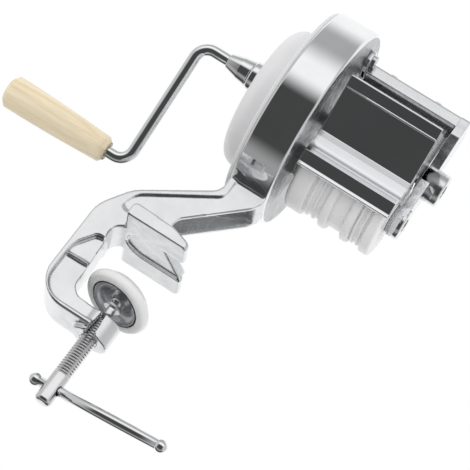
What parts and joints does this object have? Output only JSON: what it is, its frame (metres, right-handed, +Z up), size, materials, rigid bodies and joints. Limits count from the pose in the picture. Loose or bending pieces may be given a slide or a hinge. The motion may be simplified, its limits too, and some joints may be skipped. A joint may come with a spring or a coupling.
{
  "type": "hand cranked pasta roller with table clamp",
  "caption": "Table-clamped hand machine: a crank turns a geared drum that drives a ribbed roller behind a sloping dough chute; a screw clamp with a tilting pad holds the table edge.",
  "frame": {"origin": "centre between the two jaw prongs, in the plane of their undersides, on the clamp screw's axis", "axes": "+X along the crank shaft towards the roller, +Z up along the clamp screw, -Y the side where the dough goes in"},
  "size_m": [0.232, 0.12, 0.2761],
  "materials": {
    "plated_casting": "bright plated casting, drum rim polished, front face and channel rough cast",
    "grey_plastic": "satin moulded light grey",
    "zinc_screws": "zinc plated, satin",
    "bushings": "moulded grey nylon",
    "plated_rod": "bright plated, smooth",
    "steel_shafts": "ground steel",
    "pale_wood": "pale close-grained wood, thin matt varnish",
    "nylon": "moulded nylon",
    "white_nylon": "smooth moulded white nylon, satin gloss",
    "plated_bracket": "bright plated casting, slightly wavy",
    "plated_hopper": "bright plated casting, plate face brushed",
    "plated_screw": "bright plated steel",
    "pad_steel": "pressed and polished steel",
    "white_ring": "white moulded plastic, satin"
  },
  "bodies": {
    "frame": {"main_casting": "plated_casting", "back_cover": "grey_plastic", "cover_screws": "zinc_screws", "rear_bushing": "bushings", "shaft_bushings": "bushings", "roller_bracket": "plated_bracket", "bracket_screws": "zinc_screws", "feed_hopper": "plated_hopper", "hopper_screws": "zinc_screws"},
    "crank": {"main_shaft": "steel_shafts", "shaft_collar": "plated_rod", "crank_ferrule": "plated_rod", "crank_rod": "plated_rod", "grip_retainer": "zinc_screws", "drive_pinion": "steel_shafts"},
    "grip": {"handle_grip": "pale_wood"},
    "roller": {"roller_shaft": "steel_shafts", "driven_gear": "nylon", "forming_roller": "white_nylon"},
    "lift": {"swivel_collar": "pad_steel"},
    "screw": {"clamp_screw": "plated_screw"},
    "bar": {"tommy_bar": "plated_screw", "bar_balls": "plated_screw"},
    "pad": {"pad_cup": "pad_steel", "pad_ring": "white_ring"}
  },
  "joints": [
    {"name": "crank_turn", "type": "hinge", "parent": "frame", "child": "crank", "pos_m": [0, 0, 0.122], "axis": [1, 0, 0], "continuous": true},
    {"name": "grip_spin", "type": "hinge", "parent": "crank", "child": "grip", "pos_m": [-0.0935, 0.02837, 0.04999], "axis": [1, 0, 0], "continuous": true},
    {"name": "roller_turn", "type": "hinge", "parent": "frame", "child": "roller", "pos_m": [0, 0, 0.09262], "axis": [1, 0, 0], "continuous": true},
    {"name": "screw_lift", "type": "slide", "parent": "frame", "child": "lift", "axis": [0, 0, 1], "range_m": [-0.003, 0.0205]},
    {"name": "screw_turn", "type": "hinge", "parent": "lift", "child": "screw", "pos_m": [0, 0, -0.06], "axis": [0, 0, 1], "range_deg": [-675, 4612.5]},
    {"name": "bar_slide", "type": "slide", "parent": "screw", "child": "bar", "axis": [0.9703, -0.2419, 0], "range_m": [-0.059, 0.003]},
    {"name": "pad_tilt", "type": "hinge", "parent": "lift", "child": "pad", "pos_m": [0, 0, -0.0325], "axis": [-0.829, 0.5592, 0], "range_deg": [-12, 1]}
  ],
  "couplings": [
    {"joint": "roller_turn", "follows": "crank_turn", "ratio": -0.62069},
    {"joint": "screw_lift", "follows": "screw_turn", "m_per_rad": 0.00025465}
  ]
}
